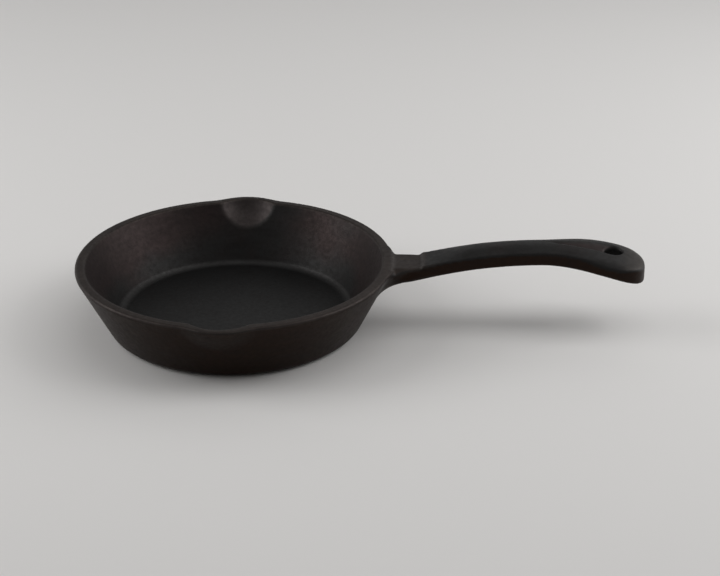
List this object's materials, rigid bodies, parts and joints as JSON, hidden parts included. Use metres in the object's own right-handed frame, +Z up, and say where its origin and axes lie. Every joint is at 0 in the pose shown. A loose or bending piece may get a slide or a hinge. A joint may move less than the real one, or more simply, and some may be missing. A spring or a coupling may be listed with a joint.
{
  "type": "cast-iron skillet",
  "caption": "Small empty cast-iron skillet: round pan with sloping walls, two side pouring lips and a long arched handle with a thumb scoop and a hanging hole.",
  "frame": {"origin": "centre of the flat base, on the surface that the skillet stands on", "axes": "+X along the handle, away from the pan; +Y towards one pouring lip; +Z up"},
  "size_m": [0.2954, 0.1732, 0.047],
  "materials": {
    "cast_iron": "seasoned, satin black-brown with a fine sand-cast grain"
  },
  "bodies": {
    "root": {"skillet": "cast_iron"}
  },
  "joints": []
}
